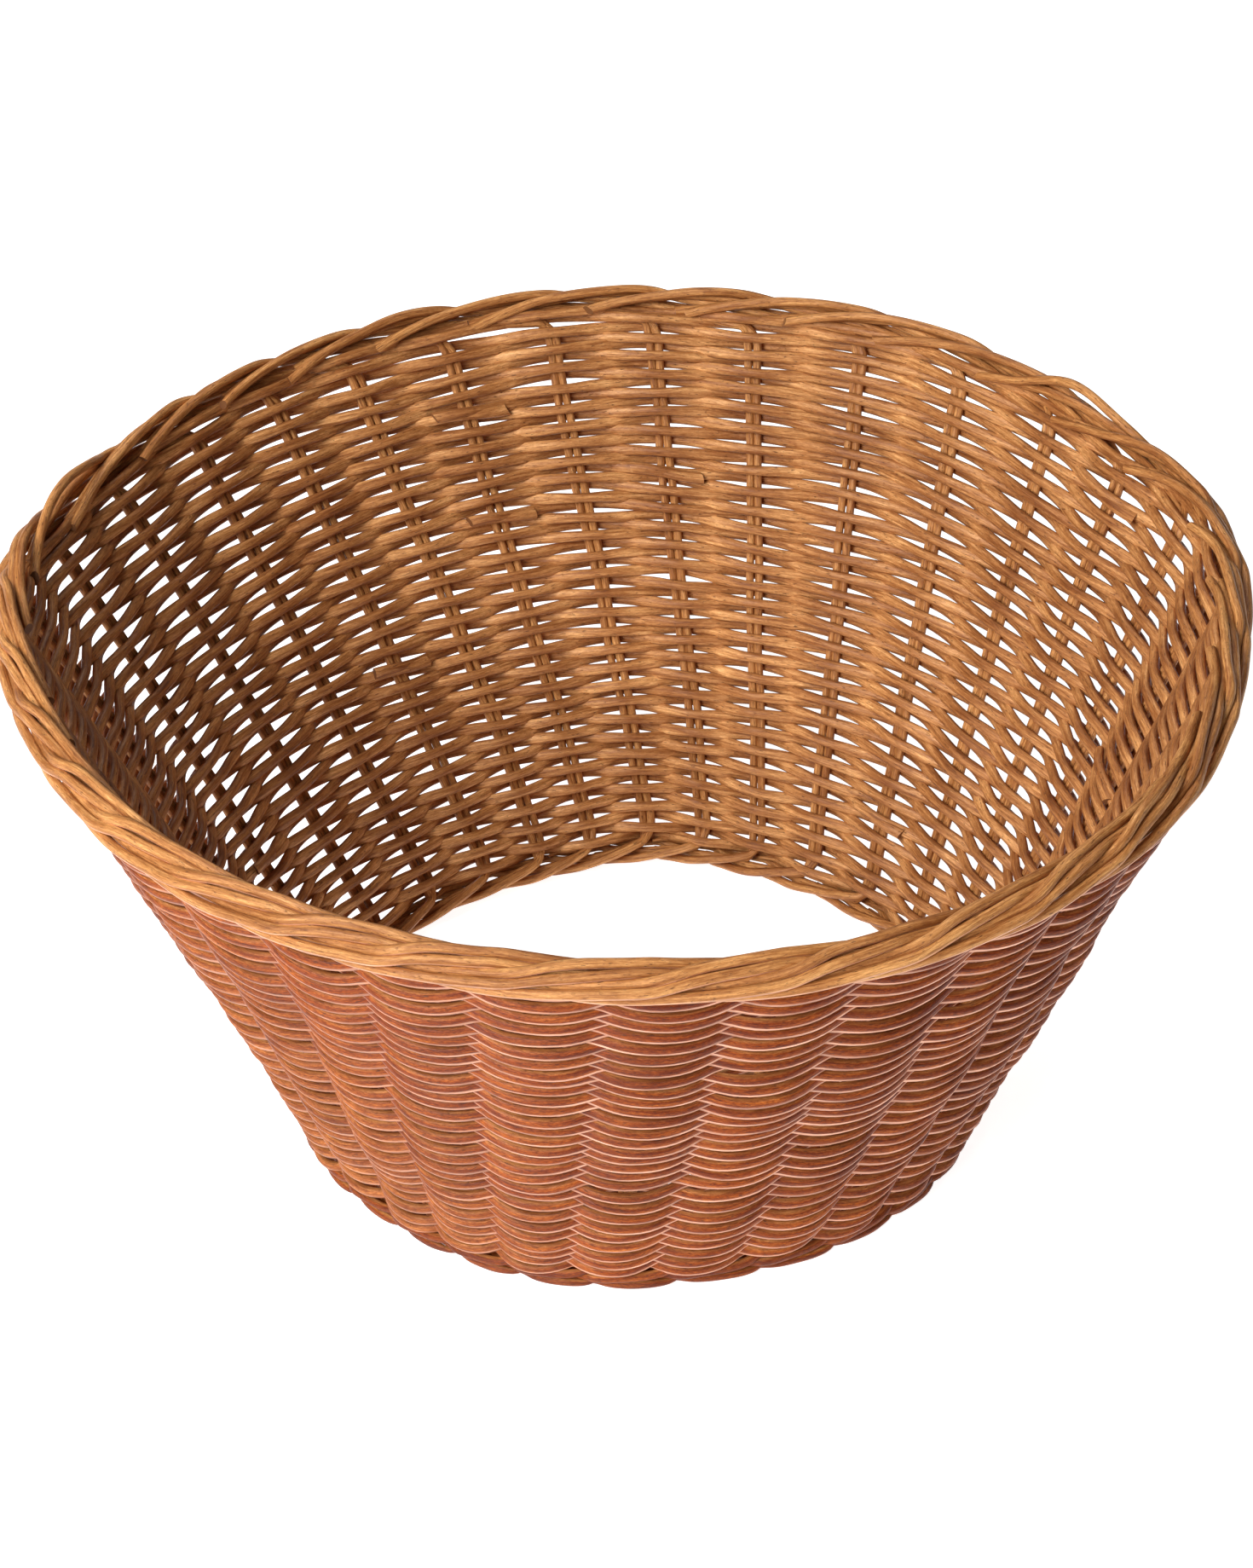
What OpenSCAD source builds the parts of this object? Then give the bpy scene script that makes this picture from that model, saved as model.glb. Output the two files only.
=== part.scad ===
// Round bread basket of rattan cane, worked as an open ring without a base.
// Pairs of canes stand in the wall as stakes. Single weaver canes go over one pair and under
// the next. The ends of the stakes are turned sideways and laid up like a rope, four deep, to
// make the rim border, and three deep to make the foot border.
// Origin: centre of the basket on the surface it stands on, +Z up, millimetres.

/* [Basket] */
// Diameter of the rim border, along the middle of its rope
rim_d = 300; // [250:5:360]
// Diameter of the foot border, along the middle of its rope
foot_d = 174; // [160:2:220]
// Overall height of the basket
height = 150; // [110:5:200]

/* [Stakes] */
// Number of stake pairs round the basket, an even number
stake_pairs = 32; // [24:2:34]
// Diameter of a stake cane
stake_d = 2.2; // [1.8:0.1:2.4]
// Angle that the stakes lean round the basket, from foot to rim
stake_lean = 9; // [0:1:12]

/* [Weavers] */
// Height of a weaver cane
weaver_h = 2.2; // [1.6:0.1:2.8]
// Width of a weaver cane, through the wall
weaver_w = 2; // [1.4:0.1:2.4]
// Rounds that one weaver cane makes before the next is pieced in
weaver_rounds = 4; // [3:1:6]

/* [Borders] */
// Radius of the rim rope, to the middle of its canes
rim_rope_r = 3.6; // [3.6:0.1:4.4]
// Radius of the foot rope, to the middle of its canes
foot_rope_r = 3.1; // [3.1:0.1:3.8]
// Depth of the flat that is worn on the foot border
foot_flat = 0.3; // [0.2:0.05:0.4]

/* [Fit] */
// Gap between canes that lie side by side
cane_gap = 0.1; // [0.05:0.05:0.2]

/* [Hidden] */
rim_turn_angle = 90;      // round the rope for each stake pair that a rim strand passes
rim_start_angle = -112.5; // place round the rope where a stake enters the rim border
rim_spread_angle = 45;    // round the rope between the two canes of a pair
foot_turn_angle = 120;
foot_start_angle = 100;
foot_spread_angle = 60;
core_share = 0.3;         // share of the rope's radius where the trailing cane starts
core_from = 0.05;         // stake pairs passed before the trailing cane comes out
core_run = 0.55;          // stake pairs that it takes to come out
spread_done = 0.25;       // share of the spread that the trailing cane starts with
spread_run = 0.35;        // stake pairs that the rest of the spread takes
ring_crowding = 1.3;      // 1 spaces the rings of a rim strand evenly
shoulder = 0.17;          // share of the stake spacing where a weaver starts to cross the wall
cane_sides = 6;
lowest_angle = 270;       // place round a rope that is nearest the floor

step = 360 / stake_pairs;
rim_z = height - rim_rope_r - stake_d / 2;
foot_z = foot_rope_r + stake_d / 2 - foot_flat;
weave_bottom = foot_z + foot_rope_r + stake_d / 2 + cane_gap;
weave_top = rim_z - rim_rope_r - stake_d / 2 - cane_gap;
rows = 2 * floor((weave_top - weave_bottom) / (weaver_h + cane_gap) / 2);
row_pitch = (weave_top - weave_bottom) / rows;
weavers = 2 * ceil(rows / (2 * weaver_rounds));
pair_pitch = stake_d + cane_gap;

function two_digits(n) = str(n < 10 ? "0" : "", n);
function stake_name(n) = str("stake_pair_", two_digits(n));
function weaver_name(n) = str("weaver_", two_digits(n));

function polar(r, angle, z) = [r * cos(angle), r * sin(angle), z];
function ease(t) = let (s = min(1, max(0, t))) s * s * (3 - 2 * s);

// ---- The wall: a straight, leaning line for the first stake pair ----

stake_foot = polar(foot_d / 2, 0, foot_z);
stake_head = polar(rim_d / 2, stake_lean, rim_z);
stake_run = stake_head - stake_foot;
stake_way = stake_run / norm(stake_run);
pair_side = polar(1, stake_lean / 2 + 90, 0);

function stake_at(z) = stake_foot + stake_run * (z - foot_z) / (rim_z - foot_z);
function wall_r(z) = norm([stake_at(z).x, stake_at(z).y]);
function wall_angle(z) = atan2(stake_at(z).y, stake_at(z).x);

// ---- Stake canes: foot strand, wall and rim strand in one length ----

// The leading cane (0) bends first. The trailing cane (1) passes through the core of the
// rope and comes out beside it. Passed counts the stake pairs that a strand has gone by.
function rope_angle(start, turn, spread, passed, cane) =
    start + turn * passed + (cane == 0 ? 0 : spread * ease(passed / spread_run + spread_done));
function rope_r(full_r, passed, cane) =
    full_r * (cane == 0 ? 1 : core_share + (1 - core_share) * ease((passed - core_from) / core_run));

function rim_point(passed, cane) =
    let (a = rope_angle(rim_start_angle, rim_turn_angle, rim_spread_angle, passed, cane))
    let (r = rope_r(rim_rope_r, passed, cane))
    polar(rim_d / 2 + r * cos(a), stake_lean + step * passed, rim_z + r * sin(a));

function foot_point(passed, cane) =
    let (a = rope_angle(foot_start_angle, foot_turn_angle, foot_spread_angle, passed, cane))
    let (r = rope_r(foot_rope_r, passed, cane))
    polar(foot_d / 2 + r * cos(a), step * passed, foot_z + r * sin(a));

function wall_point(z, cane) = stake_at(z) + pair_side * pair_pitch * (0.5 - cane);

// Where each strand starts and ends, counted in stake pairs, leading cane first.
rim_first = [0.12, 0.03];
rim_last = [3.1, 2.65];
rim_rings = 7;
foot_first = [0.1, 0.06];
// Rings of a foot strand, counted from where it passes under the border. Two of them lie
// close together there, at both ends of the worn flat.
foot_stops = [-1.05, -0.72, -0.4, -0.1, 0.1, 0.42, 0.75];
least_run = 0.1; // a foot ring is left out where it would lie nearer the first one than this
// Shares of each rope's radius at which a cane leaves the straight wall, below the middle of
// the rim rope and above the middle of the foot rope. The trailing cane keeps straight longer.
rim_leave = [1.08, 0.35];
foot_leave = [1, 0.48];
wall_ends = [for (cane = [0, 1])
    [foot_z + foot_rope_r * foot_leave[cane], rim_z - rim_rope_r * rim_leave[cane]]];

// Rings lie close together where a strand leaves the wall, and further apart along the rope.
function rim_places(cane) =
    [for (i = [0 : rim_rings])
        rim_first[cane] + (rim_last[cane] - rim_first[cane]) * pow(i / rim_rings, ring_crowding)];
function foot_places(cane) =
    let (lowest = (lowest_angle - foot_start_angle - foot_spread_angle * cane) / foot_turn_angle)
    concat([foot_first[cane]], [for (stop = foot_stops)
        if (lowest + stop > foot_first[cane] + least_run) lowest + stop]);
function backwards(list) = [for (i = [len(list) - 1 : -1 : 0]) list[i]];

function cane_path(cane) = concat(
    [for (p = backwards(foot_places(cane))) foot_point(p, cane)],
    [for (z = wall_ends[cane]) wall_point(z, cane)],
    [for (p = rim_places(cane)) rim_point(p, cane)]
);

function unit(v) = v / norm(v);
function mitre(path, i) =
    i == 0 ? unit(path[1] - path[0]) :
    i == len(path) - 1 ? unit(path[i] - path[i - 1]) :
    unit(unit(path[i] - path[i - 1]) + unit(path[i + 1] - path[i]));

// A ring of corners square to the first stretch of the path.
function first_ring(path, r, sides) =
    let (way = mitre(path, 0))
    let (across = unit(cross(way, [0, 0, 1])))
    let (up = cross(across, way))
    [for (s = [0 : sides - 1]) path[0] + r * (cos(360 * s / sides) * across
        + sin(360 * s / sides) * up)];

// Each ring slides along the stretch to the mitre plane at the stretch's far end.
function slide(ring, path, i) =
    let (way = unit(path[i] - path[i - 1]), plane = mitre(path, i))
    [for (p = ring) p + way * ((path[i] - p) * plane) / (way * plane)];

function rings(path, r, sides) =
    [for (i = 0, ring = first_ring(path, r, sides); i < len(path);
        i = i + 1, ring = i < len(path) ? slide(ring, path, i) : ring) ring];

module cane_along(path, d, sides) {
    corners = [for (ring = rings(path, d / 2, sides)) for (p = ring) [p.x, p.y, max(0, p.z)]];
    last = (len(path) - 1) * sides;
    walls = [for (i = [0 : len(path) - 2]) for (s = [0 : sides - 1])
        let (a = i * sides + s, b = i * sides + (s + 1) % sides)
        each [[a, b, b + sides], [a, b + sides, a + sides]]];
    start_cap = [for (s = [1 : sides - 2]) [0, s + 1, s]];
    end_cap = [for (s = [1 : sides - 2]) [last, last + s, last + s + 1]];
    polyhedron(points = corners, faces = concat(start_cap, walls, end_cap));
}

module stake_pair(n) {
    color("peru")
        rotate([0, 0, step * (n - 1)])
            for (cane = [0, 1])
                cane_along(cane_path(cane), stake_d, cane_sides);
}

// ---- Weaver canes: each round goes outside one pair and inside the next ----

// How far the middle of a weaver keeps from the middle of the stakes.
weaver_reach = stake_d / 2 / stake_way.z + weaver_h / 2 * norm([stake_way.x, stake_way.y])
    / stake_way.z + cane_gap + weaver_w / 2;

// Outline of a round, off by a distance from the middle of the cane. It runs straight past
// the outside of a pair, so its corners there stand out by the height of that arc.
function round_outline(row, z, off) =
    [for (i = [0 : stake_pairs - 1]) for (c = [-1, 1])
        let (a = wall_angle(z) + step * (i + c * shoulder))
        let (r = (i + row) % 2 == 0 ? (wall_r(z) + weaver_reach) / cos(step * shoulder)
            : wall_r(z) - weaver_reach)
        [(r + off) * cos(a), (r + off) * sin(a)]];

module weaver_round(row) {
    z = weave_bottom + row_pitch * (row + 0.5);
    count = 2 * stake_pairs;
    translate([0, 0, z - weaver_h / 2])
        linear_extrude(weaver_h)
            polygon(
                concat(round_outline(row, z, weaver_w / 2), round_outline(row, z, -weaver_w / 2)),
                [[for (i = [0 : count - 1]) i], [for (i = [0 : count - 1]) count + i]]
            );
}

// Two weavers chase each other up the wall, so that each has every second row.
module weaver(n) {
    first = floor((n - 1) / 2) * weaver_rounds * 2 + (n - 1) % 2;
    color(n % 2 == 0 ? "sandybrown" : "burlywood")
        for (turn = [0 : weaver_rounds - 1])
            if (first + 2 * turn < rows)
                weaver_round(first + 2 * turn);
}

for (n = [1 : stake_pairs])
    stake_pair(n);
for (n = [1 : weavers])
    weaver(n);
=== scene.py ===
"""The rattan bread basket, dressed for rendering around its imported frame.

Every cane is modelled. Stake canes run from their cut ends in the foot border, up the wall and
along the rim border in one length. Weaver canes chase each other up the wall, over one pair of
stakes and under the next. Lengths are in millimetres until a mesh is made.
"""

import math

import bpy
import numpy as np
from mathutils import Matrix, Vector


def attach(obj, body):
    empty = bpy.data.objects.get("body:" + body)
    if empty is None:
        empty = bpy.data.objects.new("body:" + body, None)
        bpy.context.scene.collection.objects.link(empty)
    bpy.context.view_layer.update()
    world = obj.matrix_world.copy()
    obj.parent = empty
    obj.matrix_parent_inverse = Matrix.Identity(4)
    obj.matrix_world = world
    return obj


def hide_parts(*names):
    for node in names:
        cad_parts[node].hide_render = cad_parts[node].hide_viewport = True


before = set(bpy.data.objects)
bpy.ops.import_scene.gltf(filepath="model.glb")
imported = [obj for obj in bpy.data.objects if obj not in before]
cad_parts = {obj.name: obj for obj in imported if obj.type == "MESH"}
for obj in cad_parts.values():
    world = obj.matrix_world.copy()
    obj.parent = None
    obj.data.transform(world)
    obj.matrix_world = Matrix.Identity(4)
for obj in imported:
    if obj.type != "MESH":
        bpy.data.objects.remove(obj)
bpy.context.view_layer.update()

MM = 0.001

# ---- The basket, close to the CAD model's sizes ----

PAIRS = 32
STEP = 360 / PAIRS
LEAN = 9.0  # degrees that a stake leans round the basket, from foot to rim
RIM_R, RIM_Z = 150.0, 144.4  # middle of the rim border's rope
FOOT_R, FOOT_Z = 87.0, 3.9  # middle of the foot border's rope
WEAVE_LOW, WEAVE_HIGH = 4.9, 143.2
WEAVERS = 14
STAKE_D = 2.3
WEAVER_D = 2.64
TILT = math.atan2(RIM_R - FOOT_R, RIM_Z - FOOT_Z)
WALL_OUT = (math.cos(TILT), -math.sin(TILT))  # the wall's outward normal, as radius and height


# ---- Curves ----


def polar(angle, r, z):
    """Points from degrees round the basket, radius and height."""
    a = np.radians(angle)
    return np.stack(np.broadcast_arrays(r * np.cos(a), r * np.sin(a), z), -1)


def wall_line(z):
    """Radius and degrees of the first stake pair at height z: a straight, leaning line."""
    t = (z - FOOT_Z) / (RIM_Z - FOOT_Z)
    head = math.radians(LEAN)
    x = FOOT_R + (RIM_R * math.cos(head) - FOOT_R) * t
    y = RIM_R * math.sin(head) * t
    return np.hypot(x, y), np.degrees(np.arctan2(y, x))


def unit(v):
    return v / np.maximum(np.linalg.norm(v, axis=-1, keepdims=True), 1e-9)


def smooth_step(t):
    t = np.clip(t, 0, 1)
    return t * t * (3 - 2 * t)


def ramp(value, start, end):
    """0 up to the start and 1 from the end on, and smooth between them."""
    return smooth_step((value - start) / (end - start))


# How far the stakes stray from even places, in degrees round the basket, at STRAY_HEIGHTS.
STRAY_HEIGHTS = (5, 33, 68, 108, 145)
STRAY = (
    (15, -7.0, -6.6, -5.9, -4.8, -4.6),
    (25, -6.7, -6.2, -5.7, -4.8, -4.5),
    (35, -5.6, -5.3, -4.7, -4.0, -3.7),
    (45, -4.2, -3.9, -3.2, -2.2, -1.8),
    (55, -2.1, -1.8, -1.7, -1.1, -0.9),
    (65, -1.5, -1.3, -0.6, -0.4, 0.1),
    (75, -1.6, -1.2, -0.5, -0.3, -0.3),
    (85, -3.0, -2.7, -1.8, -1.0, -0.8),
    (95, -3.1, -2.6, -1.8, -0.8, -0.5),
    (105, -3.6, -3.1, -2.0, -1.0, -0.6),
    (115, -4.7, -4.3, -3.1, -1.4, -0.9),
    (125, -4.0, -3.7, -3.2, -2.6, -2.2),
    (135, -3.1, -2.9, -2.6, -2.6, -2.6),
    (145, -0.6, -1.0, -1.9, -1.7, -1.1),
    (157, 3.4, 2.9, 1.4, 0.2, 0.4),
    (166, 2.5, 2.4, 1.6, 0.5, 0.5),
    (185, -1.4, -1.0, -1.0, -1.0, -1.0),
    (205, -4.3, -4.3, -4.3, -3.7, -3.2),
    (215, -4.0, -4.1, -4.7, -4.6, -4.3),
    (225, -5.7, -5.7, -4.9, -4.1, -3.8),
    (235, -5.5, -5.7, -5.8, -4.3, -3.9),
    (245, -6.0, -6.5, -7.1, -5.9, -5.6),
    (255, -6.3, -6.7, -6.8, -6.5, -6.3),
    (265, -6.2, -6.4, -6.2, -5.9, -5.9),
    (275, -4.7, -5.1, -5.0, -6.0, -5.8),
    (285, -2.6, -3.1, -4.5, -6.4, -6.2),
    (295, -1.4, -2.0, -3.7, -5.9, -6.2),
    (305, -0.5, -1.5, -3.4, -6.1, -6.5),
    (315, -0.4, -1.2, -3.6, -7.3, -7.9),
    (325, -1.2, -1.8, -2.9, -5.9, -6.5),
    (335, -2.7, -3.1, -3.6, -4.6, -4.9),
    (350, -5.7, -5.5, -5.1, -4.7, -4.7),
)
# How far the shape strays from a true cone, in millimetres. Round the basket: the foot border
# outwards, the rim border outwards and up, and the wall inwards at a third of its height.
SHAPE = (
    (0, 1.0, -2.6, 0.0, 0.0),
    (15, 0.0, -1.4, -0.5, 0.0),
    (25, -1.0, -5.4, -1.0, 0.0),
    (35, -2.2, -3.0, -1.2, 0.0),
    (45, -2.8, -0.6, -0.9, 0.0),
    (52, -2.9, 1.5, -0.8, 0.0),
    (60, -3.0, 0.6, -0.7, 0.0),
    (70, -2.8, -0.9, -1.0, 0.0),
    (80, -1.5, 0.0, -0.2, 0.0),
    (90, -0.8, 0.0, -0.1, 0.0),
    (100, -3.0, 0.0, -0.8, 0.0),
    (110, -5.0, 0.0, -1.0, 0.0),
    (125, -5.0, 0.0, -1.0, 0.0),
    (135, -4.5, 0.0, -1.0, 0.0),
    (148, -3.0, -0.9, -0.2, 0.0),
    (155, -1.5, 0.3, 0.3, 0.0),
    (163, -0.5, 2.3, 1.8, 0.0),
    (172, 0.0, 1.2, 1.6, 0.0),
    (180, 0.5, -1.0, 0.3, 0.0),
    (190, 1.2, -2.8, 0.0, 1.3),
    (200, 2.4, -3.0, 0.0, 1.3),
    (207, 3.2, -3.1, 0.0, 1.3),
    (215, 3.4, -2.0, 0.2, 1.3),
    (225, 2.7, -1.7, 0.2, 1.3),
    (235, 2.5, -1.5, 0.2, 1.3),
    (250, 3.2, -1.0, 0.0, 0.0),
    (260, 3.2, 0.0, -0.3, 0.0),
    (270, 2.9, 0.3, -0.8, 0.0),
    (280, 2.0, 0.8, -1.3, 0.0),
    (290, 2.2, 0.8, -1.4, 0.0),
    (300, 3.3, 0.6, -1.2, 0.0),
    (310, 3.8, 0.2, -0.3, 0.0),
    (320, 4.0, -0.2, 0.0, 0.0),
    (330, 4.0, -2.7, 0.0, 0.0),
    (345, 2.3, -5.2, 0.0, 0.0),
)


# Painted light and shade round the basket: how much painted shade darkens the wall inside, and how
# much the wall outside is painted as lit, with less red, less painted shade and a weaker painted
# edge highlight.
PAINTED_LIGHT_ROUND = (
    (0, 0.4, 0.0),
    (40, 0.3, 0.0),
    (60, 0.0, 0.0),
    (115, 0.0, 0.0),
    (135, 0.35, 0.0),
    (160, 0.5, 0.0),
    (185, 0.6, 0.3),
    (200, 0.8, 0.6),
    (230, 0.8, 0.6),
    (250, 0.4, 0.3),
    (265, 0.2, 0.0),
    (320, 0.1, 0.0),
)


def round_table(rows):
    """A table's columns at every degree round the basket, smoothed, with degree 0 again at 360."""
    rows = np.array(rows, float)
    at = np.arange(360)
    reach = 8  # degrees to either side that are mixed in
    blur = np.hanning(2 * reach + 1)
    soft = []
    for column in rows[:, 1:].T:
        values = np.interp(at, rows[:, 0], column, period=360)
        wide = np.concatenate([values[-reach:], values, values[:reach]])
        values = np.convolve(wide, blur / blur.sum(), "valid")
        soft.append(np.append(values, values[0]))
    return np.array(soft)


STRAY_TABLE = round_table(STRAY)
SHAPE_TABLE = round_table(SHAPE)
PAINTED_LIGHT_TABLE = round_table(PAINTED_LIGHT_ROUND)
WAIST_SCALE = 27 / 4  # makes t * (1 - t) ** 2 reach 1, at a third of the height


def hand_made(line):
    """A line in the even basket, moved to where it lies in the hand-made one."""
    x, y, z = line.T
    lean = np.interp(z, (FOOT_Z, RIM_Z), (0, LEAN))
    at = (np.degrees(np.arctan2(y, x)) - lean) % 360
    degrees = np.arange(361)
    levels = np.array([np.interp(at, degrees, level) for level in STRAY_TABLE])
    place = np.interp(z, STRAY_HEIGHTS, np.arange(len(STRAY_HEIGHTS)))
    low = np.minimum(place.astype(int), len(STRAY_HEIGHTS) - 2)
    share = smooth_step(place - low)
    column = np.arange(len(z))
    turn = np.radians(levels[low, column] * (1 - share) + levels[low + 1, column] * share)
    foot, rim, up, waist = (np.interp(at, degrees, column) for column in SHAPE_TABLE)
    t = np.clip((z - FOOT_Z) / (RIM_Z - FOOT_Z), 0, 1)
    waist = waist * WAIST_SCALE * t * (1 - t) ** 2
    grow = 1 + (foot * (1 - t) + rim * t - waist) / np.hypot(x, y)
    cos, sin = np.cos(turn) * grow, np.sin(turn) * grow
    return np.stack([x * cos - y * sin, x * sin + y * cos, z + up * t], -1)


def out_of_wall(line):
    """The wall's outward normal at each point of a line."""
    return polar(np.degrees(np.arctan2(line[:, 1], line[:, 0])), *WALL_OUT)


def painted_light_along(line):
    """The painted light along a cane that lies on this line: the painted shade inside, and how
    much it is painted as lit outside.
    """
    at = np.degrees(np.arctan2(line[:, 1], line[:, 0])) % 360
    return (np.interp(at, np.arange(361), column) for column in PAINTED_LIGHT_TABLE)


def wobble(t, wavelength, rng, octaves=3):
    """Smooth random wandering along t, of about unit height."""
    finer, lower = 1.9, 1.6  # from each octave to the next
    out = np.zeros_like(t, dtype=float)
    for octave in range(octaves):
        turns = t * finer**octave / wavelength + rng.uniform()
        out += rng.uniform(0.6, 1.0) * np.sin(2 * math.pi * turns) / lower**octave
    return out


def spline(points, gap):
    """A smooth curve through the points, sampled about every gap."""
    p = np.asarray(points, float)
    before, after = 2 * p[0] - p[1], 2 * p[-1] - p[-2]
    p = np.vstack([before, p, after])
    span = np.linalg.norm(np.diff(p, axis=0), axis=1)
    curve = []
    for i in range(1, len(p) - 2):
        n = max(2, math.ceil(span[i] / gap))
        t = np.arange(n)[:, None] / n
        start = span[i] * (p[i + 1] - p[i - 1]) / (span[i] + span[i - 1])
        end = span[i] * (p[i + 2] - p[i]) / (span[i + 1] + span[i])
        h00, h10 = 2 * t**3 - 3 * t**2 + 1, t**3 - 2 * t**2 + t
        curve.append(h00 * p[i] + h10 * start + (1 - h00) * p[i + 1] + (t**3 - t**2) * end)
    curve.append(p[-2:-1])
    return np.vstack(curve)


# ---- Canes to meshes ----

# How far a cane's section strays from round, as shares of its radius: towards an oval, towards
# three lobes, and at random for each ridge along it.
OVAL, LOBED, RIDGED = 0.030, 0.018, 0.012


class Canes:
    """Round canes gathered into one mesh, each a tube along its own line."""

    def __init__(self):
        self.points, self.faces, self.uvs, self.runs = [], [], [], []
        self.tones, self.cuts, self.looks = [], [], {"copper_and_shade": [], "edge_highlight": [], "worn": []}
        self.count = 0

    def add(self, line, radius, rng, out, slant, sides=10, flatten=0.0, square=2.0, **looks):
        """A tube along line, with cut ends. out points out of the basket, and slant is how
        obliquely the ends may be cut. flatten presses the section in the direction out, and
        square is 2 for a round section and more for a boxy one. The looks are given along the
        line: how red the cane is on the side that faces out, where above 1 that side is darkened
        further as painted shade; how strong the painted highlight is along its lower edge, a
        painted reflection of the floor; and how much lighter or darker the other side is painted,
        as painted light and shade."""
        n = len(line)
        way = unit(np.gradient(line, axis=0))
        across = unit(np.cross(way, out))
        up = np.cross(across, way)
        along = np.concatenate([[0], np.cumsum(np.linalg.norm(np.diff(line, axis=0), axis=1))])
        turn = (2 * math.pi * np.arange(sides) / sides)[None, :]
        lobes = 1 + OVAL * np.sin(2 * turn + 1.5 * wobble(along, 90, rng)[:, None])
        lobes = lobes + LOBED * np.sin(3 * turn + 2.5 * wobble(along, 60, rng)[:, None])
        lobes = lobes + rng.normal(0, RIDGED, (1, sides))
        lobes = lobes * radius[:, None]
        flatten = np.broadcast_to(flatten, (n,))[:, None]
        cos, sin = np.cos(turn), np.sin(turn)
        box = lobes / (np.abs(cos) ** square + np.abs(sin) ** square) ** (1 / square)
        wide, thick = box * (1 + flatten) * cos, box * (1 - flatten) * sin
        body = line[:, None] + wide[..., None] * across[:, None] + thick[..., None] * up[:, None]
        for end in (0, -1):
            tip = slant * rng.uniform(-1, 1) * np.cos(turn[0] + rng.uniform(0, 6.3))
            body[end] += (tip * lobes[end])[:, None] * way[end]
        body = body.reshape(-1, 3)

        base = self.count
        i, s = np.meshgrid(np.arange(n - 1), np.arange(sides), indexing="ij")
        a = base + i * sides + s
        b = base + i * sides + (s + 1) % sides
        self.faces.append(np.stack([a, b, b + sides, a + sides], -1).reshape(-1, 4))
        u0, u1 = along[i], along[i + 1]
        v0, v1 = s / sides, (s + 1) / sides
        corners = [(u0, v0), (u0, v1), (u1, v1), (u1, v0)]
        self.uvs.append(np.stack([np.stack(c, -1) for c in corners], 2).reshape(-1, 2))
        self.runs.append((along, sides))

        # The cut ends: a ring of their own corners, so that the edge stays sharp.
        ends = []
        for end, order in ((0, -1), (n - 1, 1)):
            ring = body[end * sides : (end + 1) * sides]
            first = base + len(body) + len(ends) * (sides + 1)
            corners = first + np.stack([np.arange(sides), (np.arange(sides) + 1) % sides], -1)
            middle = np.full((sides, 1), first + sides)
            self.faces.append(np.hstack([middle, corners[:, ::order]]))
            self.uvs.append(np.tile([[along[end], 0.5]], (3 * sides, 1)))
            ends.append(np.vstack([ring, ring.mean(axis=0)]))
        cut = np.zeros(len(body) + 2 * (sides + 1))
        cut[len(body) :] = 1
        for label, kept in self.looks.items():
            spread = np.repeat(np.broadcast_to(looks[label], (n,)), sides)
            kept.append(np.concatenate([spread, np.zeros(2 * (sides + 1))]))
        body = np.vstack([body, *ends])
        self.points.append(body)
        self.tones.append(np.full(len(body), rng.uniform()))
        self.cuts.append(cut)
        self.count += len(body)

    def strips(self):
        """Every corner's place on a square sheet, where the canes lie opened out as strips, one
        above the other, with their cut ends in a last row."""
        girth, pitch, room = 8.2, 9.4, 3.0  # a cane's girth, from strip to strip, between ends
        spot, spot_radius, margin = 4.0, 1.5, 0.5  # for a cut end, and round the sheet
        total = sum(along[-1] + room for along, _ in self.runs)
        side = math.sqrt(total * pitch) + 2 * room
        rows = math.ceil(total / side)
        places, start = [], 0.0
        for number, (along, sides) in enumerate(self.runs):
            i, s = np.meshgrid(np.arange(len(along) - 1), np.arange(sides), indexing="ij")
            row, left = np.divmod(start + along[i], side)
            right = left + along[i + 1] - along[i]
            low, high = row * pitch + s / sides * girth, row * pitch + (s + 1) / sides * girth
            corners = [(left, low), (left, high), (right, high), (right, low)]
            places.append(np.stack([np.stack(c, -1) for c in corners], 2).reshape(-1, 2))
            for end, order in ((0, -1), (1, 1)):
                middle = np.array([spot * (2 * number + end + 0.5), rows * pitch + spot / 2])
                turn = 2 * math.pi * np.stack([np.arange(sides), np.arange(sides) + 1], -1) / sides
                ring = np.stack([np.cos(turn), np.sin(turn)], -1)[:, ::order]
                ring = middle + spot_radius * ring
                middles = np.broadcast_to(middle, (sides, 1, 2))
                places.append(np.concatenate([middles, ring], 1).reshape(-1, 2))
            start += along[-1] + room
        places = np.vstack(places) + margin
        return places / (places.max() + margin)

    def build(self, name, material):
        """One smooth mesh object of all the canes, in metres."""
        mesh = bpy.data.meshes.new(name)
        faces = [face for group in self.faces for face in group.tolist()]
        mesh.from_pydata((np.vstack(self.points) * MM).tolist(), [], faces)
        mesh.polygons.foreach_set("use_smooth", np.ones(len(faces), bool))
        layer = mesh.uv_layers.new(name="Cane")
        layer.uv.foreach_set("vector", np.vstack(self.uvs).astype(np.float32).ravel())
        sheet = mesh.uv_layers.new(name="OFBake")
        sheet.uv.foreach_set("vector", self.strips().astype(np.float32).ravel())
        for label, values in {"tone": self.tones, "cut": self.cuts, **self.looks}.items():
            attribute = mesh.attributes.new(label, "FLOAT", "POINT")
            attribute.data.foreach_set("value", np.concatenate(values).astype(np.float32))
        mesh.materials.append(material)
        piece = bpy.data.objects.new(name, mesh)
        bpy.context.scene.collection.objects.link(piece)
        return piece


# ---- Materials ----


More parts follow.
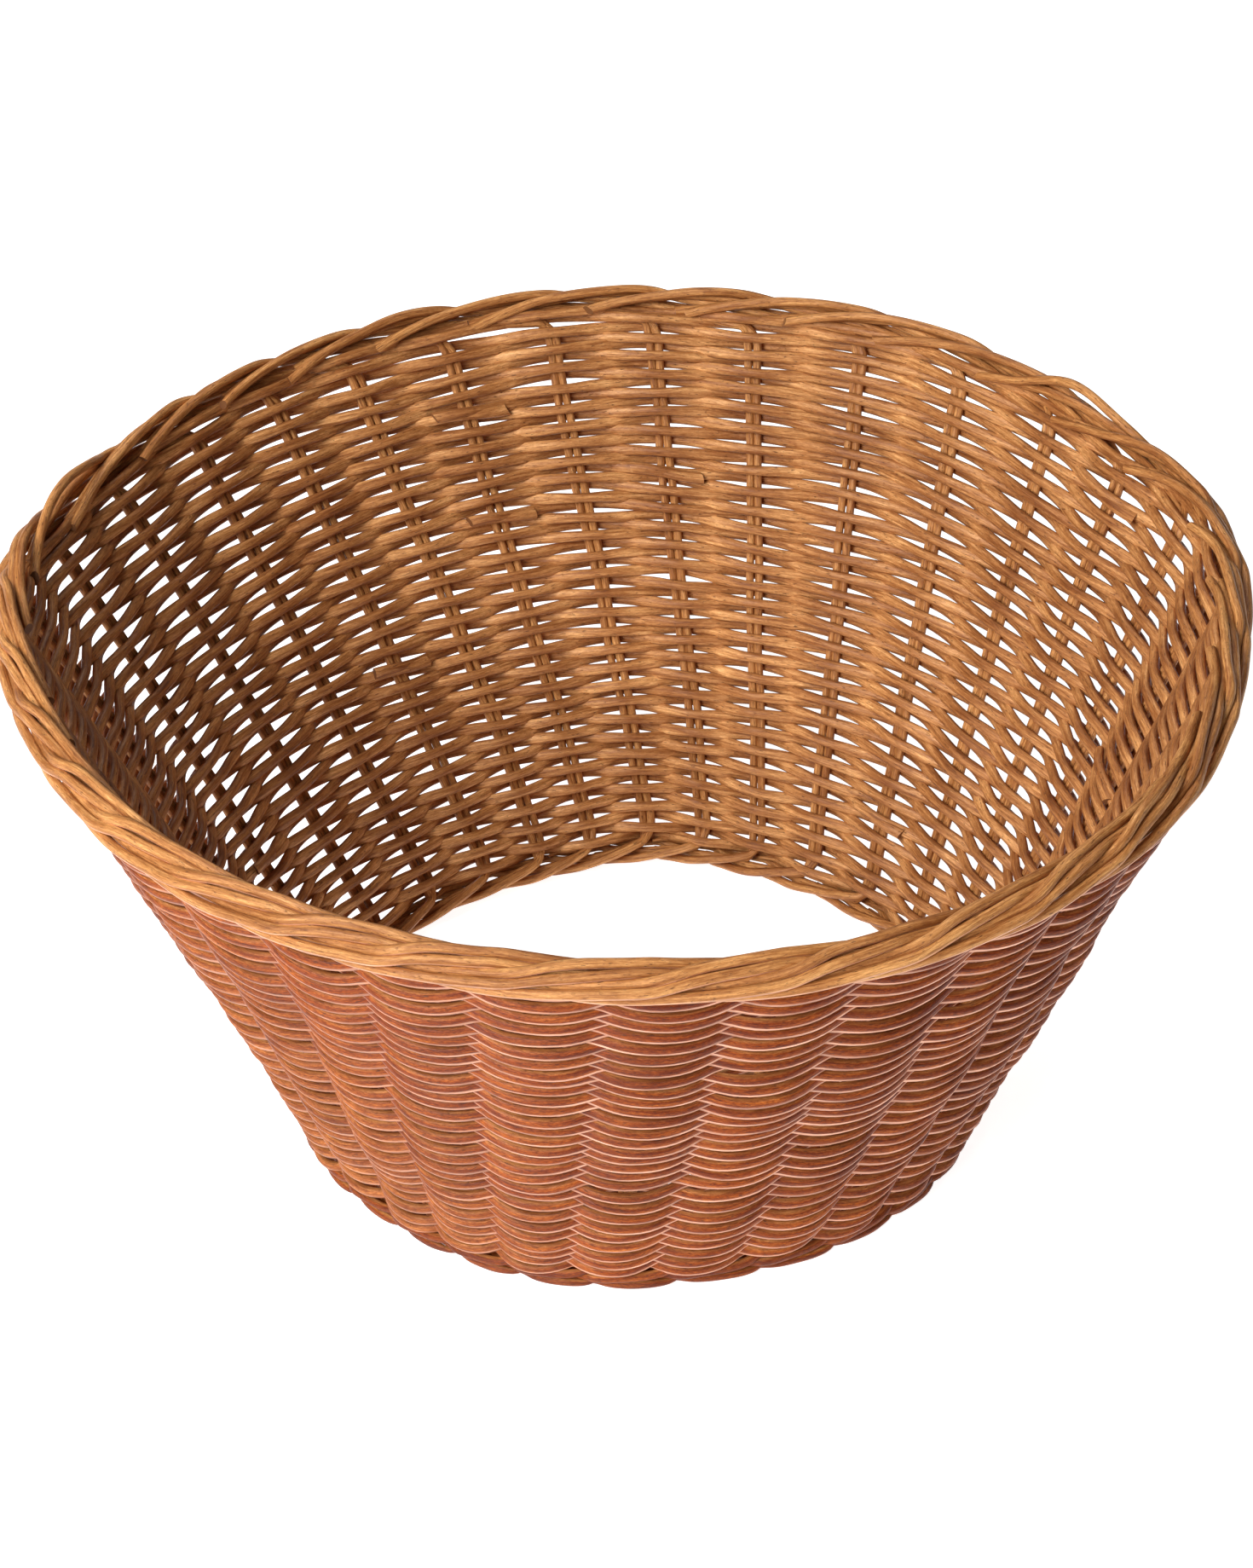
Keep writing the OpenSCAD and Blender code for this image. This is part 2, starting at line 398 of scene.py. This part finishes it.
class Nodes:
    """Short forms for a material's node tree."""

    def __init__(self, name):
        self.material = bpy.data.materials.new(name)
        self.material.use_nodes = True
        self.tree = self.material.node_tree
        self.shader = self.tree.nodes["Principled BSDF"]

    def add(self, kind, sockets=(), **settings):
        node = self.tree.nodes.new("ShaderNode" + kind)
        for key, value in settings.items():
            setattr(node, key, value)
        for key, value in dict(sockets).items():
            self.put(node.inputs[key], value)
        return node

    def put(self, socket, value):
        if isinstance(value, bpy.types.NodeSocket):
            self.tree.links.new(value, socket)
        else:
            socket.default_value = value

    def maths(self, operation, *values):
        node = self.add("Math", operation=operation)
        for socket, value in zip(node.inputs, values):
            self.put(socket, value)
        return node.outputs[0]

    def blend(self, factor, a, b, mode="MIX"):
        node = self.add("Mix", data_type="RGBA", blend_type=mode)
        self.put(node.inputs["Factor"], factor)
        self.put(node.inputs["A"], a)
        self.put(node.inputs["B"], b)
        return node.outputs["Result"]

    def noise(self, vector, detail, rough):
        sockets = {"Vector": vector, "Scale": 1.0, "Detail": detail, "Roughness": rough}
        return self.add("TexNoise", sockets).outputs["Fac"]

    def spread(self, value, low, high, to_low=0.0, to_high=1.0):
        sockets = {"Value": value, "From Min": low, "From Max": high}
        sockets |= {"To Min": to_low, "To Max": to_high}
        return self.add("MapRange", sockets).outputs["Result"]


HONEY = (0.66, 0.36, 0.105, 1)  # streaks on the side that faces out
# The painted highlight along each cane's lower outer edge, a painted reflection of the bright
# floor.
EDGE_HIGHLIGHT = (0.97, 0.53, 0.36, 1)
PORE = (0.09, 0.03, 0.012, 1)
CUT_END = (0.10, 0.04, 0.018, 1)
GREEN_POWER, BLUE_POWER = 1.4, 1.8  # how much faster than red these fade as a cane darkens


def cane_material(name, pale, mid, deep, outside):
    """Peeled rattan: fibres along the cane, dark pores, and a tone of its own for each cane.
    The pattern is laid out in a cane's own length, in millimetres, and round its girth. The
    colour outside multiplies the side that faces out of the basket."""
    m = Nodes(name)
    uv = m.add("UVMap", uv_map="Cane").outputs["UV"]
    split = m.add("SeparateXYZ", {"Vector": uv})
    along, around = split.outputs["X"], m.maths("MULTIPLY", split.outputs["Y"], 2 * math.pi)
    cosine, sine = m.maths("COSINE", around), m.maths("SINE", around)
    tone = m.add("Attribute", attribute_name="tone").outputs["Fac"]
    cut = m.add("Attribute", attribute_name="cut").outputs["Fac"]
    copper_and_shade = m.add("Attribute", attribute_name="copper_and_shade").outputs["Fac"]
    edge_highlight = m.add("Attribute", attribute_name="edge_highlight").outputs["Fac"]
    worn = m.add("Attribute", attribute_name="worn").outputs["Fac"]
    shift = m.maths("MULTIPLY", tone, 900.0)

    def pattern(along_scale, girth, detail, rough=0.6):
        sockets = {
            "X": m.maths("ADD", m.maths("MULTIPLY", along, along_scale), shift),
            "Y": m.maths("MULTIPLY", cosine, girth),
            "Z": m.maths("MULTIPLY", sine, girth),
        }
        return m.noise(m.add("CombineXYZ", sockets).outputs["Vector"], detail, rough)

    def times(colour, value):
        """Brightens or darkens a colour. What is darker is redder too, as in stained wood."""
        green = m.maths("POWER", value, GREEN_POWER)
        blue = m.maths("POWER", value, BLUE_POWER)
        tint = m.add("CombineColor", {"Red": value, "Green": green, "Blue": blue})
        return m.blend(1.0, colour, tint.outputs["Color"], "MULTIPLY")

    drift = pattern(0.035, 0.35, 2.0)
    stain = pattern(0.11, 0.9, 3.0)
    streaks = pattern(0.07, 1.7, 3.0, 0.65)
    fibres = pattern(0.30, 4.2, 3.0, 0.7)
    pores = pattern(0.50, 3.2, 2.0, 0.7)
    grain = pattern(0.85, 6.5, 2.0, 0.7)

    body = m.blend(m.spread(drift, 0.35, 0.65), mid, pale)
    body = m.blend(m.spread(tone, 0.0, 1.0, 0.0, 0.5), body, deep)
    body = m.blend(m.spread(stain, 0.5, 0.72, 0.0, 0.6), body, deep)
    facing_out = m.maths("MULTIPLY", m.spread(sine, -0.3, 0.6), copper_and_shade)
    warm = m.blend(m.spread(streaks, 0.42, 0.62, 0.0, 0.5), outside, HONEY)
    body = m.blend(facing_out, body, m.blend(1.0, body, warm, "MULTIPLY"))
    # Painted shade: where the copper value is above 1, the side that faces out is darkened and
    # reddened.
    body = times(body, m.spread(facing_out, 1.0, 1.3, 1.0, 0.76))
    # Painted light and shade on the side that faces in: lighter where the value is high, as at a
    # weaver's crossings, and darker where it is low, as beside the stakes and in the painted shade
    # inside.
    inward = m.spread(sine, 0.5, -0.2)
    paler = m.maths("MULTIPLY", inward, m.spread(worn, -1.0, 1.0, -0.48, 0.16))
    body = times(body, m.maths("ADD", paler, 1.0))
    body = times(body, m.spread(streaks, 0.3, 0.7, 0.55, 1.3))
    body = times(body, m.spread(fibres, 0.3, 0.7, 0.74, 1.26))
    rough = times(body, m.spread(grain, 0.3, 0.7, 0.5, 1.5))
    body = m.blend(m.spread(facing_out, 0.0, 1.0, 0.3, 1.0), body, rough)
    body = m.blend(m.spread(pores, 0.62, 0.70, 0.0, 0.75), body, PORE)
    # Painted highlight: a pale strip along the lower outer edge of each cane, a painted reflection
    # of the floor.
    under = m.maths("MULTIPLY", m.spread(cosine, -0.20, -0.08), m.spread(sine, 0.1, 0.35))
    under = m.maths("MULTIPLY", under, m.spread(streaks, 0.3, 0.6, 0.3, 1.0))
    body = m.blend(m.maths("MULTIPLY", under, edge_highlight), body, EDGE_HIGHLIGHT)
    body = m.blend(m.maths("MULTIPLY", cut, 0.7), body, CUT_END)
    m.put(m.shader.inputs["Base Color"], body)
    m.put(m.shader.inputs["Roughness"], m.spread(fibres, 0.3, 0.7, 0.42, 0.62))
    height = m.maths("ADD", m.maths("MULTIPLY", streaks, 0.8), m.maths("MULTIPLY", fibres, 0.5))
    height = m.maths("SUBTRACT", height, m.spread(pores, 0.6, 0.7, 0.0, 0.3))
    bump = m.add("Bump", {"Strength": 0.9, "Distance": 0.0003, "Height": height})
    m.put(m.shader.inputs["Normal"], bump.outputs["Normal"])
    m.put(m.shader.inputs["Coat Normal"], bump.outputs["Normal"])
    m.shader.inputs["Specular IOR Level"].default_value = 0.25
    m.shader.inputs["Coat Weight"].default_value = 0.12
    m.shader.inputs["Coat Roughness"].default_value = 0.2
    return m.material


STAKE_LOOK = cane_material(
    "golden_cane",
    pale=(0.69, 0.33, 0.108, 1),
    mid=(0.53, 0.23, 0.068, 1),
    deep=(0.30, 0.10, 0.026, 1),
    outside=(0.57, 0.262, 0.08, 1),
)
WEAVER_LOOK = cane_material(
    "copper_cane",
    pale=(0.66, 0.315, 0.11, 1),
    mid=(0.51, 0.22, 0.07, 1),
    deep=(0.28, 0.095, 0.026, 1),
    outside=(0.58, 0.24, 0.052, 1),
)

# ---- Stakes and borders ----

# How the two canes of a pair lie in the rim border: stake pairs passed, then how far out from
# and above the middle of the rope. They come out low and run along the outside past two pairs.
# There the trailing cane breaks out steeply to the top, with the leading cane outside it. Both
# dip under the next strands and end inside.
RIM_LAY = (
    (
        (0.06, -1.4, -3.9),
        (0.18, 0.4, -3.9),
        (0.32, 1.9, -3.6),
        (0.50, 2.9, -3.2),
        (0.80, 3.8, -2.6),
        (1.10, 4.2, -1.9),
        (1.40, 4.3, -1.0),
        (1.70, 4.1, 0.0),
        (1.95, 3.5, 0.9),
        (2.15, 2.8, 1.7),
        (2.40, 2.0, 2.2),
        (2.70, 1.2, 2.3),
        (3.00, 0.2, 1.8),
        (3.30, -0.9, 0.7),
        (3.60, -1.9, -0.7),
        (3.80, -2.4, -1.6),
    ),
    (
        (0.02, -2.0, -3.9),
        (0.25, -1.5, -3.6),
        (0.50, -0.5, -2.9),
        (0.75, 0.7, -2.1),
        (1.00, 1.6, -1.3),
        (1.30, 2.1, -0.5),
        (1.60, 2.3, 0.4),
        (1.87, 2.7, 1.5),
        (1.99, 2.3, 2.8),
        (2.10, 1.2, 3.7),
        (2.30, 0.2, 4.1),
        (2.60, -0.6, 4.0),
        (2.90, -1.3, 3.4),
        (3.10, -1.8, 2.7),
        (3.30, -2.4, 1.7),
        (3.50, -3.0, 0.5),
        (3.70, -3.6, -1.0),
        (3.88, -4.2, -2.4),
    ),
)
# Rim strands that stand away from the rope: pair, cane, from and to (stake pairs passed), and
# how far up they rise.
LOOSE = (
    (0, 1, 1.90, 3.45, 5.4),
    (11, 1, 1.95, 3.6, 5.0),
    (12, 0, 1.9, 3.3, 2.4),
    (12, 1, 1.9, 3.2, 1.5),
    (31, 1, 2.1, 3.3, 1.2),
    (4, 1, 1.9, 2.9, 0.8),
    (7, 1, 1.9, 2.8, 0.7),
)
# The same for the foot border: down the inside, under, and out to an end on the outside.
FOOT_LAY = (
    (
        (0.08, -0.1, 2.9),
        (0.30, -1.6, 2.2),
        (0.60, -2.7, 1.2),
        (0.95, -3.0, -0.1),
        (1.25, -2.3, -1.7),
        (1.55, -0.6, -2.7),
        (1.85, 1.0, -2.8),
        (2.10, 1.8, -2.7),
        (2.45, 2.4, -2.3),
        (2.75, 1.8, -1.6),
        (3.05, 0.8, -0.9),
    ),
    (
        (0.02, 0.1, 2.7),
        (0.25, -0.6, 1.4),
        (0.55, -1.0, 0.5),
        (0.90, -0.9, -0.1),
        (1.20, -0.2, -0.5),
        (1.55, 1.2, -0.5),
        (1.85, 2.2, -0.2),
        (2.10, 2.8, 0.1),
        (2.50, 2.8, 0.5),
        (2.80, 2.1, 1.1),
        (3.10, 1.1, 1.6),
    ),
)
WALL_STOPS = np.linspace(10.0, 137.0, 14)  # heights that a stake's line in the wall goes through
PAIR_RUN = 28  # millimetres of border for each stake pair passed, roughly
LAY_GAP = 0.8  # millimetres between the points of a lay
STATIONS = 16  # places looked at for each stake pair passed, when the strands are packed
PACK_ROUNDS = 160
PACKED = 0.97  # share of a cane's width that strands in a border keep from each other
STAKE_GAP = 1.3  # millimetres between the points along a stake cane
RIM_CANE_D = 2.45  # stake canes are pressed a little wider where they bend into the rim


def laid_places(lays, loose, seed):
    """Stake pairs passed at each station, and where each pair's two canes are laid there. A
    cane that ends sooner than the other has no place at the last stations."""
    first, last = max(lay[0][0] for lay in lays), max(lay[-1][0] for lay in lays)
    passed = np.arange(math.ceil(first * STATIONS), int(last * STATIONS) + 1) / STATIONS
    place = np.empty((PAIRS, 2, len(passed), 2))
    for c, lay in enumerate(lays):
        curve = spline([(stop[0] * PAIR_RUN, stop[1], stop[2]) for stop in lay], LAY_GAP)
        along = curve[:, 0] / PAIR_RUN
        for k in range(PAIRS):
            rng = np.random.default_rng([seed, c, k])
            for axis in (0, 1):
                middle = np.interp(passed, along, curve[:, 1 + axis], right=np.nan)
                place[k, c, :, axis] = middle + loose * wobble(passed, 1.7, rng, 2)
    return passed, place


def pack_strands(place, thick, low=-math.inf):
    """Moves strands that cut into each other apart. place holds x and y for each pair, cane and
    station, and y stays above low. Strands that many pairs apart meet at stations that many
    times STATIONS apart."""
    # Shares that count in each round: of the whole push, of each bend, and of the way back.
    pace, stiffness, pull = 0.7, 0.08, 0.05
    nowhere = 99.0  # far from every strand
    gone = np.isnan(place)
    laid = np.where(gone, nowhere, place)
    place = laid.copy()
    count = place.shape[2]
    for _ in range(PACK_ROUNDS):
        push = np.zeros_like(place)
        for pairs in range(math.ceil(count / STATIONS)):
            shift = pairs * STATIONS
            for c in (0, 1):
                for d in (0, 1):
                    if pairs == 0 and d <= c:
                        continue
                    here = place[:, c, shift:]
                    there = np.roll(place, -pairs, axis=0)[:, d, : count - shift]
                    apart = here - there
                    gap = np.linalg.norm(apart, axis=-1, keepdims=True)
                    move = 0.5 * apart / np.maximum(gap, 1e-6) * np.clip(thick - gap, 0, 1.0)
                    push[:, c, shift:] += move
                    back = np.zeros_like(place[:, d])
                    back[:, : count - shift] = -move
                    push[:, d] += np.roll(back, pairs, axis=0)
        bend = place[:, :, 2:] + place[:, :, :-2] - 2 * place[:, :, 1:-1]
        real = np.abs(bend) < nowhere / 5  # and not the step where a strand ends
        push[:, :, 1:-1] += stiffness * np.where(real, bend, 0)
        push += pull * (laid - place)
        push[:, :, 0] = 0
        place += pace * push
        place[..., 1] = np.maximum(place[..., 1], low)
    return np.where(gone, np.nan, place)


def wall_points(k, c, rng):
    """Places along one cane of a pair where it stands in the wall."""
    r, a = wall_line(WALL_STOPS)
    angle = a + STEP * k + 0.10 * wobble(WALL_STOPS, 60, rng)
    middle = polar(angle, r, WALL_STOPS)
    side = unit(np.cross(polar(angle, *WALL_OUT), unit(np.gradient(middle, axis=0))))
    spread = np.linalg.norm(hand_made(middle + side / 2) - hand_made(middle - side / 2), axis=1)
    apart = (0.5 - c) * STAKE_D * (0.98 + 0.03 * wobble(WALL_STOPS, 60, rng)) / spread
    return middle + side * apart[:, None]


def stake_lines():
    """The middle lines of all the stake canes, from foot end to rim end, by pair and cane."""
    foot_passed, foot = laid_places(FOOT_LAY, 0.12, 21)
    foot = pack_strands(foot, STAKE_D * PACKED, low=STAKE_D / 2 - FOOT_Z)
    rim_passed, rim = laid_places(RIM_LAY, 0.16, 22)
    rim = pack_strands(rim, RIM_CANE_D * PACKED)
    for k, c, start, stop, rise in LOOSE:
        t = np.clip((rim_passed - start) / (stop - start), 0, 1)
        rim[k, c, :, 1] += rise * np.sin(math.pi * t) ** 1.3
    lines = []
    for k in range(PAIRS):
        rng = np.random.default_rng(1000 + k)
        own = []
        for c in (0, 1):
            x, y = foot[k, c].T
            low = polar(STEP * (k + foot_passed), FOOT_R + x, FOOT_Z + y)
            x, y = rim[k, c].T
            high = polar(LEAN + STEP * (k + rim_passed), RIM_R + x, RIM_Z + y)
            points = np.vstack([low[::-1], wall_points(k, c, rng), high])
            own.append(spline(points[~np.isnan(points[:, 0])], STAKE_GAP))
        lines.append(own)
    return lines


def even(line, gap):
    """The same line with its points spread evenly, about a gap apart."""
    far = np.concatenate([[0], np.cumsum(np.linalg.norm(np.diff(line, axis=0), axis=1))])
    wanted = np.linspace(0, far[-1], int(far[-1] / gap) + 1)
    line = np.stack([np.interp(wanted, far, line[:, i]) for i in range(3)], -1)
    soft = line.copy()
    soft[1:-1] = 0.25 * line[:-2] + 0.5 * line[1:-1] + 0.25 * line[2:]
    return soft


def stake_canes(k, own):
    """The canes of one stake pair, side by side from end to end. Their ends are cut by hand, up
    to 2 points short in the foot border and up to 6 in the rim border."""
    rng = np.random.default_rng(3000 + k)
    canes = Canes()
    for c, line in enumerate(own):
        line = even(hand_made(line), STAKE_GAP)
        line = line[rng.integers(0, 3) : len(line) - rng.integers(0, 7)]
        far = np.arange(len(line)) * STAKE_GAP
        diameter = STAKE_D + (RIM_CANE_D - STAKE_D) * ramp(line[:, 2], 132, 142)
        radius = diameter / 2 * (rng.uniform(0.98, 1.04) + 0.025 * wobble(far, 50, rng))
        radius = radius * (0.45 + 0.55 * ramp(far, 0, 9))  # thinned at the foot end
        line[:, 2] = np.maximum(line[:, 2], radius)
        height = line[:, 2]
        painted_shade, _ = painted_light_along(line)
        # Painted light and shade: the side that faces out takes the outside's red in the foot
        # border and, above 1, painted shade; the painted edge highlight lies only in the rim
        # border; and below the rim border the inner side is darkened by the painted shade of the
        # table.
        looks = {
            "copper_and_shade": 1.3 * ramp(height, 22, 10),
            "edge_highlight": 0.6 * ramp(height, 134, 140),
            "worn": 0.5 - painted_shade * ramp(height, 138, 130),
        }
        canes.add(line, radius, rng, out_of_wall(line), slant=1.2, **looks)
    return canes


# ---- Weavers ----

TURNS = 29  # times that each of the two chasing weavers goes round the wall
RISE = (WEAVE_HIGH - WEAVE_LOW) / (2 * TURNS)  # from one row to the next
WEAVER_POINTS = 12  # points along a weaver for each stake pair passed
WEAVER_GAP = 1.5  # millimetres between them, roughly
# How far a weaver's middle keeps from the middle of the stakes, outside and inside, and how much
# less it keeps outside right under the rim border.
REACH_OUT, REACH_IN, REACH_LESS = 2.9, 2.55, 1.5
FULLNESS = 0.8  # how long a weaver stays far out as it passes outside a pair
# At a joint: how far the next cane starts before it and the last one ends behind it, in stake
# pairs, half the run over which they turn aside, and how far they move in and up or down.
JOINT_BEFORE, JOINT_BEHIND, JOINT_EASE, JOINT_IN, JOINT_UP = 0.42, 0.38, 0.3, 1.5, 0.9


def unevenness(angle, z):
    """How far the rows stray from level, in millimetres up, at a place on the wall."""
    a = np.radians(angle)
    calm = 12  # millimetres to either border over which it fades
    fade = smooth_step((z - WEAVE_LOW) / calm) * smooth_step((WEAVE_HIGH - z) / calm)
    stray = 0.7 * np.sin(3 * a + z / 13 + 1.0) + 0.5 * np.sin(5 * a - z / 9 + 2.2)
    return fade * (stray + 0.35 * np.sin(11 * a + z / 5) + 0.3 * np.sin(8 * a - z / 6 + 4))


# Where two rows stand apart: degrees round the basket, half the width in degrees, the height
# between the rows, and how much wider the gap is.
WIDE_GAPS = (
    (95, 4, 140.0, 1.5),
    (105, 6, 139.4, 2.0),
    (29, 4, 135.5, 1.0),
    (73, 4, 103.0, 1.0),
    (93, 4, 92.0, 0.8),
    (99, 4, 124.5, 1.0),
    (134, 4, 65.5, 1.0),
)


def opened(angle, z):
    """How far the rows are pushed up or down beside the wide gaps."""
    push = np.zeros_like(z)
    for middle, half, height, wide in WIDE_GAPS:
        off = (angle - middle + 180) % 360 - 180
        near = np.exp(-((off / half) ** 2))
        push += near * wide / 2 * np.tanh((z - height) / 0.8) * np.exp(-(((z - height) / 5) ** 2))
    return push


# Where the canes of each chasing weaver are pieced: degrees round the basket and height.
JOINTS = (
    ((310, 24), (215, 44), (134, 65), (93, 92), (74, 103), (99, 124)),
    ((40, 26), (160, 46), (255, 66), (350, 85), (205, 105), (30, 133)),
)


def joints(chaser):
    """Where one weaver cane ends inside and the next is laid in, counted in stake pairs."""
    places = []
    for degrees, z in JOINTS[chaser]:
        around = (degrees - wall_line(z)[1]) / STEP
        rounds = ((z - WEAVE_LOW) / RISE - chaser - 0.5) / 2 - around / PAIRS
        at = round(around + PAIRS * round(rounds))
        places.append(at + (at + chaser + 1) % 2)
    return [None, *places, None]


def weaver_line(chaser, start, stop, rng):
    """A weaver cane from one joint to the next, and its swing: 1 where it passes outside a
    stake pair, and -1 inside. It climbs two rows in a round, because the other weaver's rows lie
    between its own, and the two start half a round apart. At a joint both ends lie inside, one
    above the other."""
    first = -chaser * PAIRS / 2 if start is None else start - JOINT_BEFORE
    last = TURNS * PAIRS if stop is None else stop + JOINT_BEHIND
    q = np.linspace(first, last, int((last - first) * WEAVER_POINTS) + 1)
    z = WEAVE_LOW + RISE * (chaser + 0.5 + 2 * q / PAIRS)
    z = np.minimum(z, WEAVE_HIGH - 0.4 * RISE)
    r, lean = wall_line(z)
    angle = lean + STEP * q
    swing = np.cos(math.pi * (q + chaser))
    outside = np.tanh(FULLNESS * swing) / math.tanh(FULLNESS)
    inside = swing * (0.86 + 0.14 * swing**2)
    swing = np.where(swing > 0, outside, inside)
    under_rim = smooth_step((z - WEAVE_HIGH + 3.2) / 2.4)
    reach = np.where(swing > 0, REACH_OUT - REACH_LESS * under_rim, REACH_IN) * swing
    reach = reach + 0.08 * wobble(q, 3.1, rng)
    z = z + unevenness(angle, z) + 0.20 * wobble(q, 7.3, rng) + 0.15 * wobble(q, 2.3, rng)
    z = z + opened(angle, z)
    if start is not None:
        end = smooth_step((start + JOINT_EASE - q) / (2 * JOINT_EASE))
        reach, z = reach - JOINT_IN * end, z - JOINT_UP * end
    if stop is not None:
        end = smooth_step((q - stop + JOINT_EASE) / (2 * JOINT_EASE))
        reach, z = reach - JOINT_IN * end, z + JOINT_UP * end
    return hand_made(polar(angle, r + reach * WALL_OUT[0], z + reach * WALL_OUT[1])), swing


def weaver_canes(n):
    """One weaver cane. n counts from 0, and the odd ones are lengths of the second chaser."""
    rng = np.random.default_rng(5000 + n)
    chaser, tier = n % 2, n // 2
    stops = joints(chaser)
    line, swing = weaver_line(chaser, stops[tier], stops[tier + 1], rng)
    far = np.arange(len(line)) * WEAVER_GAP
    radius = WEAVER_D / 2 * (rng.uniform(0.97, 1.03) + 0.03 * wobble(far, 70, rng))
    crossing = 1 - swing**2
    radius = radius * (1.0 + 0.05 * crossing)
    shape = {"sides": 12, "flatten": 0.02 + 0.14 * crossing, "square": 2.2, "slant": 0.8}
    # Painted light and shade: the side that faces out is darkened towards the rim as painted
    # shade, and less so, with less red and a weaker painted edge highlight, where it is painted as
    # lit; the other side is painted lighter at the crossings and darker beside the stakes and in
    # the painted shade inside.
    shade_towards_rim = 1 + 0.3 * np.clip(line[:, 2] / WEAVE_HIGH, 0, 1)
    painted_shade, painted_lit_outside = painted_light_along(line)
    looks = {
        "copper_and_shade": shade_towards_rim * (1 - 0.45 * painted_lit_outside),
        "edge_highlight": np.clip(0.8 + 0.25 * wobble(far, 45, rng), 0.3, 1) * (1 - painted_lit_outside),
        "worn": crossing - painted_shade,
    }
    canes = Canes()
    canes.add(line, radius, rng, out_of_wall(line), **shape, **looks)
    return canes


for k, own in enumerate(stake_lines()):
    piece = stake_canes(k, own).build(f"stake_canes_{k + 1:02d}", STAKE_LOOK)
    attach(piece, "root")
    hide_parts(f"stake_pair_{k + 1:02d}")

for n in range(WEAVERS):
    piece = weaver_canes(n).build(f"weaver_cane_{n + 1:02d}", WEAVER_LOOK)
    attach(piece, "root")
    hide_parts(f"weaver_{n + 1:02d}")

# ---- Stage, light and camera ----


def floor():
    """A plain pale floor, far wider than the view."""
    half = 6.0
    corners = [(-half, -half, 0), (half, -half, 0), (half, half, 0), (-half, half, 0)]
    mesh = bpy.data.meshes.new("floor")
    mesh.from_pydata(corners, [], [(0, 1, 2, 3)])
    m = Nodes("pale_floor")
    m.shader.inputs["Base Color"].default_value = (0.6, 0.6, 0.6, 1)
    m.shader.inputs["Roughness"].default_value = 0.9
    m.shader.inputs["Emission Color"].default_value = (1, 1, 1, 1)
    m.shader.inputs["Emission Strength"].default_value = 0.9
    mesh.materials.append(m.material)
    obj = bpy.data.objects.new("floor", mesh)
    bpy.context.scene.collection.objects.link(obj)


def soft_light(name, place, watts):
    """A square area light that looks at the middle of the basket."""
    data = bpy.data.lights.new(name, "AREA")
    data.size = 0.7
    data.energy = watts
    data.color = (1.0, 0.98, 0.96)
    lamp = bpy.data.objects.new(name, data)
    lamp.location = place
    aim = Vector((0, 0, 0.08)) - Vector(place)
    lamp.rotation_euler = aim.to_track_quat("-Z", "Y").to_euler()
    bpy.context.scene.collection.objects.link(lamp)


def studio():
    """Soft light from the front left, and a little from the front right and from behind."""
    world = bpy.data.worlds.new("studio")
    bpy.context.scene.world = world
    world.use_nodes = True
    background = world.node_tree.nodes["Background"]
    background.inputs["Color"].default_value = (1, 1, 1, 1)
    background.inputs["Strength"].default_value = 0.01
    soft_light("front", (-0.75, -1.26, 1.03), 17)
    soft_light("key", (-1.10, -0.96, 1.03), 14)
    soft_light("high", (-0.87, -0.50, 1.51), 12)
    soft_light("fill", (0.73, -1.27, 1.03), 1.6)
    soft_light("back", (0.0, 1.12, 1.42), 7)


def camera():
    """The view of the photograph, which takes the image as 1470 by 1839."""
    image_high = 1839
    focal_px = 4509.84
    off_x, off_y = -8.48, -6.79  # pixels that the image's middle lies off the camera's axis
    pitch, roll = 0.6197, 0.0194
    distance = 6.4936 * RIM_R * MM
    aim = Vector((0, 0, 89.49 * MM))
    ahead = Vector((0, math.cos(pitch), -math.sin(pitch)))
    right, up = Vector((1, 0, 0)), Vector((0, math.sin(pitch), math.cos(pitch)))
    tipped_right = right * math.cos(roll) - up * math.sin(roll)
    tipped_up = up * math.cos(roll) + right * math.sin(roll)
    data = bpy.data.cameras.new("camera")
    data.sensor_width = 36
    data.lens = focal_px * data.sensor_width / image_high
    data.shift_x = off_x / image_high
    data.shift_y = off_y / image_high
    obj = bpy.data.objects.new("camera", data)
    turn = Matrix((tipped_right, tipped_up, -ahead)).transposed()
    obj.matrix_world = Matrix.Translation(aim - ahead * distance) @ turn.to_4x4()
    bpy.context.scene.collection.objects.link(obj)
    bpy.context.scene.camera = obj


floor()
studio()
camera()

bpy.context.scene.view_settings.view_transform = "Standard"
